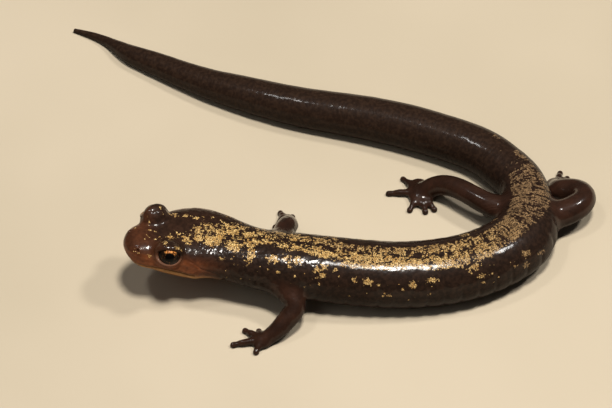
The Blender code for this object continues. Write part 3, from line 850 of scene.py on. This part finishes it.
# Bright patches by strength, brassy markings and, by each nostril, three painted highlights: distance behind
# the snout, degrees from the crown, half length, half width
PATCHES = {
    1.2: (
        (8.7, 14, 0.7, 0.55), (9.8, 13, 0.8, 0.6), (11.6, 18, 0.6, 0.6),
    ),
    1.1: (
        (5.8, 17, 0.65, 0.5), (7.5, 14, 0.7, 0.5), (10.0, 2, 0.8, 0.6), (12.2, 22, 0.5, 0.5),
        (13.6, 26, 0.45, 0.7), (17.1, 24, 0.5, 0.55), (18.1, 27, 0.5, 0.5), (25.3, 51, 0.55, 0.35),
        (31.6, 49, 0.6, 0.38), (35.5, 36, 0.7, 0.4),
    ),
    1.0: (
        (7.5, 1, 0.7, 0.45), (8.7, -4, 0.7, 0.5), (10.7, -16, 0.7, 0.5), (11.2, -7, 0.8, 0.5),
        (12.6, -11, 0.8, 0.5), (13.2, 9, 0.6, 0.5), (13.8, 0, 0.8, 0.5), (15.6, 29, 0.55, 0.4),
        (20.9, 31, 0.35, 0.35), (20.1, 38, 0.35, 0.35), (20.8, 47, 0.4, 0.3), (22.7, 22, 0.6, 0.4),
        (24.1, 26, 0.5, 0.35), (23.9, 48, 0.5, 0.28), (29.8, 54, 0.35, 0.42), (36.0, 55, 0.45, 0.28),
        (52.6, 24, 0.7, 0.45), (51.0, 7, 0.6, 0.55),
    ),
    0.9: (
        # the three small spots from 0.62 to 0.98 behind the snout are painted highlights round the nostril
        (3.1, 9, 0.4, 0.3), (4.0, -27, 0.16, 0.16), (4.3, 10, 0.35, 0.3), (0.72, 40, 0.1, 0.09),
        (0.98, 57, 0.12, 0.1), (0.62, 54, 0.1, 0.09), (4.8, 37, 0.16, 0.16), (17.2, 36, 0.4, 0.4),
        (22.0, 35, 0.25, 0.35), (26.4, 54, 0.35, 0.25), (36.9, 58, 0.25, 0.25), (39.2, 61, 0.3, 0.4),
        (40.5, 49, 0.35, 0.6),
    ),
    0.8: (
        (2.1, 5, 0.35, 0.3), (5.3, -34, 0.5, 0.18), (1.9, 68, 0.12, 0.12), (5.2, 7, 0.35, 0.3),
        (11.7, -27, 0.7, 0.4), (11.2, 47, 0.35, 0.25), (2.0, 62, 0.25, 0.2), (3.3, 25, 0.3, 0.2),
        (4.4, 32, 0.3, 0.12), (4.2, -21, 0.14, 0.12), (16.4, 52, 0.2, 0.2), (20.3, 52, 0.3, 0.2),
        (40.3, 70, 0.3, 0.4), (41.9, 66, 0.35, 0.45), (25.4, 73, 0.2, 0.12), (27.5, 75, 0.28, 0.2),
        (31.3, 75, 0.15, 0.12), (36.1, 70, 0.2, 0.15), (56.1, 22, 0.45, 0.4), (54.3, -2, 0.3, 0.25),
    ),
    0.75: (
        (6.4, -24, 0.5, 0.18),
    ),
    0.7: (
        (5.6, -27, 0.35, 0.14), (7.4, -19, 0.4, 0.2), (9.3, 58, 0.2, 0.25), (2.7, -23, 0.14, 0.12),
        (3.1, -3, 0.18, 0.14), (2.6, -8, 0.18, 0.14), (15.4, 62, 0.2, 0.2), (18.0, 55, 0.2, 0.2),
        (27.1, 72, 0.15, 0.12), (20.6, 65, 0.12, 0.2),
    ),
    0.6: (
        (6.1, 62, 0.2, 0.15), (30.1, 80, 0.2, 0.1),
    ),
}
# How wet the skin is: distance behind the snout, share
WETNESS = (
    (0.0, 1.0), (20.0, 1.0), (21.4, 0.45), (25.2, 0.3), (26.6, 1.0), (33.4, 1.0), (35.0, 0.75), (44.0, 0.8),
    (52.0, 0.6), (BODY_END, 0.6),
)
SPECKS = 170  # small flecks strewn over the flanks and the neck
SPECK_SEED = 11


def band_strength(s, turn):
    """Two brassy bands beside a darker line, running together over the hips. Turn is in degrees."""
    far, line, near, far_strength, near_strength, dark, _ = band_row(s)
    edges = between(turn, (far - 5, far + 5), (near - 5, near + 5))
    side = ramp(turn, line - 3, line + 3)
    return edges * (far_strength + (near_strength - far_strength) * side) * (1 - dark * hump(turn, line, 4.5))


def patch_strength(s, angle, round_length):
    """The bright patches, a few of them painted highlights by the nostrils, and the specks, as humps over the
    skin.
    """
    rng = np.random.default_rng(SPECK_SEED)
    specks = []
    for _ in range(SPECKS):
        place = rng.uniform(9.0, 44.0)
        turn = rng.choice((-1, 1)) * rng.triangular(34, 44, 105)
        size = rng.uniform(0.05, 0.13)
        specks.append((place, turn, size, size * rng.uniform(0.6, 1.2), rng.uniform(0.5, 0.95)))
    patches = [(*patch, strength) for strength, group in PATCHES.items() for patch in group]
    mirrored = [(a + 0.7, -b - 2 * c, c, d, e) for a, b, c, d, e in patches if b > 30]
    total = np.zeros(len(s))
    order = np.argsort(s)
    ordered = s[order]
    for place, turn, length, width, strength in (*patches, *mirrored, *specks):
        reach = 2.6 * length
        near = order[np.searchsorted(ordered, place - reach):np.searchsorted(ordered, place + reach)]
        across = (angle[near] - math.radians(turn)) * round_length[near]
        spot = strength * hump(s[near], place, length) * hump(across, 0, width)
        total[near] = np.maximum(total[near], spot)
    return total


def paint(mesh, points, s, angle, rise, share):
    """Stores where the skin is golden, warm, pale, dark or creased, for its material to read. The creases
    carry painted shade, a few golden spots by the nostrils are painted highlights, and the pale edge of the
    belly is partly a painted floor reflection.
    """
    turn = np.degrees(angle)
    around = np.abs(turn)
    size = girth(s)
    round_length = (size[:, 0] + (size[:, 1] + size[:, 2]) / 2) / 2
    body = ramp(share, 0.6, 0.95)
    gold = np.maximum(band_strength(s, turn), patch_strength(s, angle, round_length)) * body
    dull = np.maximum(band_row(s)[6], 0.5 * ramp(-turn, -6, 12) * ramp(s, 17, 22))
    dull = np.maximum(dull, 0.55 * ramp(-turn, 15, 40))
    wet = np.interp(s, *np.array(WETNESS).T) * (0.85 + 0.25 * lattice_noise(points, 0.9, 7))
    wet += (1 - body) * (1 - wet)
    wet *= 0.22 + 0.78 * ramp(normals_of(mesh)[:, 2], 0.0, 0.5)
    head = ramp(s, 13.5, 8.0) * body
    snout = ramp(s, 4.0, 1.8)
    warm = head * np.maximum(0.04 + 0.96 * ramp(around, 40, 80), 0.33 * snout)
    warm = np.maximum(warm, 0.3 * ramp(s, 19, 12) * ramp(around, 60, 100))
    warm = np.maximum(warm, 1 - body)
    jaw = hump(rise - mouth_height(s), -0.46, 0.48) * between(s, (0.1, 0.6), (8.0, 12.0))
    # Pale: the tan jaw strip, and a thin line along the belly's lower edge that is partly the underside's
    # paler colour and partly a painted reflection of the lit floor.
    pale = np.maximum(0.2 * ramp(around, 128, 160), jaw) * body
    # Painted shade: the mouth line and, below, the nostrils are marked to be darkened.
    crease = hump(rise, mouth_height(s), 0.075) * ramp(s, MOUTH_CORNER + 0.5, MOUTH_CORNER)
    rim = np.zeros(len(s))
    for side in (1, -1):
        crease = np.maximum(crease, hump(lengths(points - nostril(side)), 0, NOSTRIL_RADIUS * 1.1))
        near, out, high = near_eye(points, side, LID_REACH)
        rim[near] = hump(out, 0.03, 0.07) * ramp(-high, -0.1, 0.45)
    tail = ramp(s, 50.0, 58.0) * body
    store(mesh, gold=gold, dull=dull, head=head, warm=warm, pale=pale, wet=wet)
    store(mesh, tail=tail, rough=pebbled(s), crease=crease, rim=rim, along=s)


# Materials


class Nodes:
    """A short way to write a material's nodes."""

    def __init__(self, name):
        self.material = bpy.data.materials.new(name)
        self.material.use_nodes = True
        self.tree = self.material.node_tree
        self.shader = self.tree.nodes["Principled BSDF"]

    def plug(self, socket, value):
        if isinstance(value, bpy.types.NodeSocket):
            self.tree.links.new(value, socket)
        elif socket.type == "RGBA":
            socket.default_value = (*value, 1.0)
        else:
            socket.default_value = value

    def shade(self, inputs):
        """Sets the shader's own inputs, or links them."""
        for name, value in inputs.items():
            self.plug(self.shader.inputs[name], value)
        return self.material

    def node(self, kind, inputs=(), **settings):
        made = configured(self.tree.nodes.new(kind), **settings)
        for key, value in dict(inputs).items():
            self.plug(made.inputs[key], value)
        return made

    def math(self, operation, *values):
        return self.node("ShaderNodeMath", enumerate(values), operation=operation).outputs[0]

    def times(self, one, two):
        return self.math("MULTIPLY", one, two)

    def plus(self, one, two):
        return self.math("ADD", one, two)

    def read(self, name):
        return self.node("ShaderNodeAttribute", attribute_name=name).outputs["Fac"]

    def place(self):
        """Place in the animal's own frame, in millimetres."""
        coordinates = self.node("ShaderNodeTexCoord").outputs["Object"]
        scaled = self.node("ShaderNodeVectorMath", {0: coordinates, "Scale": 1 / MM}, operation="SCALE")
        return scaled.outputs[0]

    def noise(self, place, scale, detail=2.0, roughness=0.5):
        inputs = {"Vector": place, "Scale": scale, "Detail": detail, "Roughness": roughness}
        return self.node("ShaderNodeTexNoise", inputs).outputs["Fac"]

    def cells(self, place, scale, **settings):
        return self.node("ShaderNodeTexVoronoi", {"Vector": place, "Scale": scale}, **settings)

    def mix(self, share, one, two):
        made = self.node("ShaderNodeMix", {"Factor": share, "A": one, "B": two}, data_type="RGBA")
        return made.outputs["Result"]

    def ramp(self, value, low, high, out_low=0.0, out_high=1.0):
        inputs = {"Value": value, "From Min": low, "From Max": high, "To Min": out_low, "To Max": out_high}
        return self.node("ShaderNodeMapRange", inputs, interpolation_type="SMOOTHSTEP").outputs["Result"]

    def bump(self, height, strength, distance):
        inputs = {"Height": height, "Strength": strength, "Distance": distance}
        return self.node("ShaderNodeBump", inputs).outputs["Normal"]


NEAR_BLACK = (0.0125, 0.0068, 0.0045)
FLANK_BROWN = (0.024, 0.0125, 0.0078)
HEAD_DARK, HEAD_MAROON = (0.1, 0.029, 0.0105), (0.2, 0.06, 0.021)
LEG_DARK, LEG_MAROON = (0.018, 0.0078, 0.0046), (0.033, 0.0136, 0.0078)
TAIL_DARK, TAIL_BROWN = (0.015, 0.008, 0.0052), (0.027, 0.0145, 0.0088)
# Tan for the jaw strip, and for the belly's edge, where it is partly a painted floor reflection.
TAN = (0.48, 0.26, 0.095)
# The brass colours also paint the highlights by the nostrils.
BRASS, PALE_BRASS = (0.4, 0.215, 0.06), (0.74, 0.5, 0.2)
DULL_BRASS, DULL_PALE = (0.14, 0.085, 0.042), (0.27, 0.168, 0.084)
RIM_PALE = (0.15, 0.08, 0.05)
# Painted shade for the mouth line and the nostrils.
PAINTED_CREASE_SHADE = (0.01, 0.005, 0.004)
# Copper of the iris's flecks, also used for a painted glint above the pupil.
COPPER, PALE_COPPER = (0.4, 0.12, 0.024), (0.8, 0.35, 0.09)
PUPIL_BLACK, IRIS_DARK = (0.002, 0.0015, 0.0015), (0.009, 0.0048, 0.003)
FLOOR_DARK, FLOOR_PALE = (0.44, 0.372, 0.268), (0.49, 0.416, 0.306)


def brass_flecks(n, place):
    """Share of brassy grains over the skin, with a few painted highlights by the nostrils among them, and a
    random number for each grain.
    """
    gold = n.read("gold")
    ragged = n.math("MULTIPLY_ADD", n.noise(place, 1.1, 4.0, 0.65), 2.4, -1.2)
    fine = n.math("MULTIPLY_ADD", n.noise(place, 3.4, 2.0, 0.6), 1.7, -0.85)
    field = n.plus(n.plus(gold, ragged), fine)
    sway = n.times(n.noise(place, 1.6), 0.5)
    lines = n.node("ShaderNodeCombineXYZ", {0: n.plus(n.read("along"), sway)}).outputs[0]
    folds = n.times(n.ramp(n.noise(lines, 3.0, 1.0), 0.4, 0.62, -0.45, 0.1), n.read("dull"))
    field = n.plus(field, folds)
    shift = n.node("ShaderNodeTexNoise", {"Vector": place, "Scale": 7.0}).outputs["Color"]
    shifted = {0: shift, 1: (0.16,) * 3, 2: place}
    bent = n.node("ShaderNodeVectorMath", shifted, operation="MULTIPLY_ADD").outputs[0]
    grain = n.cells(bent, 5.6)
    edge = n.cells(bent, 5.6, feature="DISTANCE_TO_EDGE")
    draw = n.node("ShaderNodeSeparateColor", {0: grain.outputs["Color"]})
    needed = n.math("MULTIPLY_ADD", draw.outputs[0], 0.6, 0.3)
    needed = n.math("MULTIPLY_ADD", n.read("dull"), -0.13, needed)
    kept = n.ramp(n.math("SUBTRACT", field, needed), -0.03, 0.05)
    body = n.ramp(edge.outputs["Distance"], 0.03, 0.14)
    return n.times(n.times(kept, body), n.ramp(gold, 0.03, 0.22)), draw.outputs[1], folds


def skin_material():
    n = Nodes("wet_skin")
    place = n.place()
    broad = n.ramp(n.noise(place, 0.55, 3.0, 0.55), 0.35, 0.7)
    mottle = n.noise(place, 2.6, 4.0, 0.6)
    light = n.ramp(mottle, 0.38, 0.66)
    base = n.mix(light, NEAR_BLACK, FLANK_BROWN)
    base = n.mix(n.read("tail"), base, n.mix(light, TAIL_DARK, TAIL_BROWN))
    leg = n.mix(broad, LEG_DARK, LEG_MAROON)
    reddish = n.mix(n.read("head"), leg, n.mix(broad, HEAD_DARK, HEAD_MAROON))
    base = n.mix(n.times(n.read("warm"), n.ramp(mottle, 0.2, 0.6, 0.6)), base, reddish)
    # Tan jaw strip and pale belly edge, the latter partly a painted floor reflection.
    base = n.mix(n.times(n.read("pale"), n.ramp(mottle, 0.3, 0.7, 0.5, 0.95)), base, TAN)
    flecks, draw, folds = brass_flecks(n, place)
    brass = n.mix(n.read("dull"), n.mix(draw, BRASS, PALE_BRASS), n.mix(draw, DULL_BRASS, DULL_PALE))
    base = n.mix(flecks, base, brass)
    # The rim is the pale margin of the lower lid; the crease mark paints shade along the mouth line and in
    # the nostrils.
    for name, share, colour in (("rim", 0.6, RIM_PALE), ("crease", 0.7, PAINTED_CREASE_SHADE)):
        base = n.mix(n.times(n.read(name), share), base, colour)
    pebble = n.cells(place, 4.2, feature="SMOOTH_F1").outputs["Distance"]
    grain = n.noise(place, 9.0, 3.0, 0.6)
    height = n.times(pebble, -0.7)
    for layer, weight in ((grain, 0.5), (flecks, 0.35), (folds, 1.6)):
        height = n.plus(height, n.times(layer, weight))
    wet = n.times(pebble, n.math("MULTIPLY_ADD", n.read("rough"), -1.7, -0.2))
    for layer, weight in ((n.noise(place, 2.0), 0.5), (flecks, 0.22)):
        wet = n.plus(wet, n.times(layer, weight))
    return n.shade({
        "Base Color": base,
        "Roughness": n.ramp(flecks, 0, 1, 0.5, 0.36),
        "Normal": n.bump(height, 0.55, 0.00004),
        "Coat Normal": n.bump(wet, 0.35, 0.00003),
        "Coat Weight": n.read("wet"),
        "Coat Roughness": 0.14,
        "Coat IOR": 1.31,
        "Specular IOR Level": 0.04,
    })


def eye_material():
    """A black pupil in a near-black iris, with coppery flecks mostly above the pupil, where they are partly
    the iris's own colour and partly a painted glint.
    """
    n = Nodes("wet_eye")
    place = n.place()
    off = n.read("off_axis")
    flecks = n.noise(place, 5.0, 3.0, 0.65)
    # Painted glint: the flecks gathered above the pupil are partly iris colour and partly a painted
    # highlight.
    above = n.times(n.ramp(n.read("rise"), 0.22, 0.36), n.ramp(flecks, 0.4, 0.52))
    above = n.times(above, n.ramp(n.math("ABSOLUTE", n.read("across")), 0.58, 0.3))
    scattered = n.times(n.ramp(flecks, 0.58, 0.68), 0.35)
    ring = n.times(n.ramp(off, 0.36, 0.42), n.ramp(off, 0.98, 0.8))
    gold = n.times(n.math("MAXIMUM", above, scattered), ring)
    copper = n.mix(n.ramp(n.noise(place, 9.0), 0.4, 0.6), COPPER, PALE_COPPER)
    base = n.mix(ring, PUPIL_BLACK, IRIS_DARK)
    return n.shade({
        "Base Color": n.mix(gold, base, copper),
        "Roughness": 0.3,
        "Specular IOR Level": 0.05,
        "Coat Weight": 0.35,
        "Coat Roughness": 0.03,
        "Coat IOR": 1.3,
    })


def floor_material():
    n = Nodes("pale_floor")
    tone = n.mix(n.ramp(n.noise(n.place(), 0.02, 3.0), 0.3, 0.7), FLOOR_DARK, FLOOR_PALE)
    return n.shade({"Base Color": tone, "Roughness": 0.75})


# Pieces


def finish_piece(item, material, nodes):
    """Scales a piece to metres and hands it over to the frame."""
    item.data.transform(Matrix.Scale(MM, 4))
    item.data.shade_smooth()
    item.data.materials.clear()
    item.data.materials.append(material)
    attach(item, "root")
    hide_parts(*nodes)


def make_skin():
    item = raw_skin()
    mesh = item.data
    refine(mesh, along_body(points_of(mesh)) < HEAD_FINE)
    refine(mesh, by_the_eyes(points_of(mesh), LID_FINE))
    points, s, share = shape_skin(points_of(mesh))
    edges = edges_of(mesh)
    points = smoothed(points, edges, 2, 0.4)
    points = smoothed(points, edges, 10, 0.5 - np.abs(share - 0.5))
    points = even_lids(points, edges)
    set_points(mesh, points)
    _, rise, angle = body_place(points, s)
    height = relief(points, s, angle, rise, share)
    points = points + normals_of(mesh) * height[:, None]
    points[:, 2] = np.maximum(points[:, 2], 0.0)
    set_points(mesh, points)
    paint(mesh, points, s, angle, rise, share)
    flesh = [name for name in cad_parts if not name.startswith("eye")]
    finish_piece(item, skin_material(), flesh)


def make_eye(name, side, material):
    """An eyeball with a low bulge in front, and each point's place on its face."""
    ways = eye_ways(side)
    item = ball(f"eyeball_{name}", (0, 0, 0), ways, (1, 1, 1), 128, 96)
    mesh = item.data
    way = points_of(mesh)
    local = way @ ways.T
    off = np.arccos(np.clip(local[:, 0], -1, 1))
    radius = EYE_RADIUS + CORNEA_BULGE * hump(off, 0, CORNEA_WIDTH)
    set_points(mesh, eye_middle(side) + way * radius[:, None])
    store(mesh, off_axis=off, rise=local[:, 2], across=local[:, 1])
    finish_piece(item, material, [f"eye_{name}"])


def make_floor():
    bm = bmesh.new()
    bmesh.ops.create_grid(bm, x_segments=1, y_segments=1, size=0.6)
    floor = new_object("floor", bm)
    floor.data.materials.append(floor_material())


VIEW_ELEVATION = math.radians(50)
VIEW_DISTANCE = 247.3
VIEW_ANGLE = math.radians(15)


def make_camera():
    camera = linked("camera", bpy.data.cameras.new("camera"))
    camera.data.sensor_fit = "HORIZONTAL"
    camera.data.angle = VIEW_ANGLE
    camera.data.clip_start = 0.02
    back, height = math.cos(VIEW_ELEVATION) * VIEW_DISTANCE, math.sin(VIEW_ELEVATION) * VIEW_DISTANCE
    camera.location = Vector((-CENTRE[0], -CENTRE[1] - back, height)) * MM
    camera.rotation_euler = (math.pi / 2 - VIEW_ELEVATION, 0, 0)
    bpy.context.scene.camera = camera


# Round lights that face the middle of the animal: place and size in metres, power and colour
LIGHTS = {
    "key": ((0.045, -0.06, 0.47), 0.075, 2.4, (1.0, 0.96, 0.9)),
    "right": ((0.26, 0.04, 0.42), 0.06, 0.95, (1.0, 0.97, 0.93)),
    "left": ((-0.17, 0.0, 0.46), 0.05, 0.35, (1.0, 0.98, 0.96)),
    "fill": ((-0.35, -0.25, 0.5), 0.4, 0.35, (0.98, 0.98, 1.0)),
}


def make_lights():
    for name, (place, size, power, colour) in LIGHTS.items():
        light = bpy.data.lights.new(name, "AREA")
        configured(light, shape="DISK", size=size, energy=power, color=colour)
        item = linked(name, light)
        item.location = place
        item.rotation_euler = (-Vector(place)).to_track_quat("-Z", "Y").to_euler()
        item.visible_glossy = name != "fill"
    world = bpy.data.worlds.new("room")
    world.use_nodes = True
    background = world.node_tree.nodes["Background"]
    background.inputs["Color"].default_value = (0.95, 0.97, 1.0, 1.0)
    background.inputs["Strength"].default_value = 0.04
    bpy.context.scene.world = world
    bpy.context.scene.view_settings.view_transform = "Standard"


make_skin()
wet_eye = eye_material()
make_eye("left", 1, wet_eye)
make_eye("right", -1, wet_eye)
make_floor()
make_camera()
make_lights()
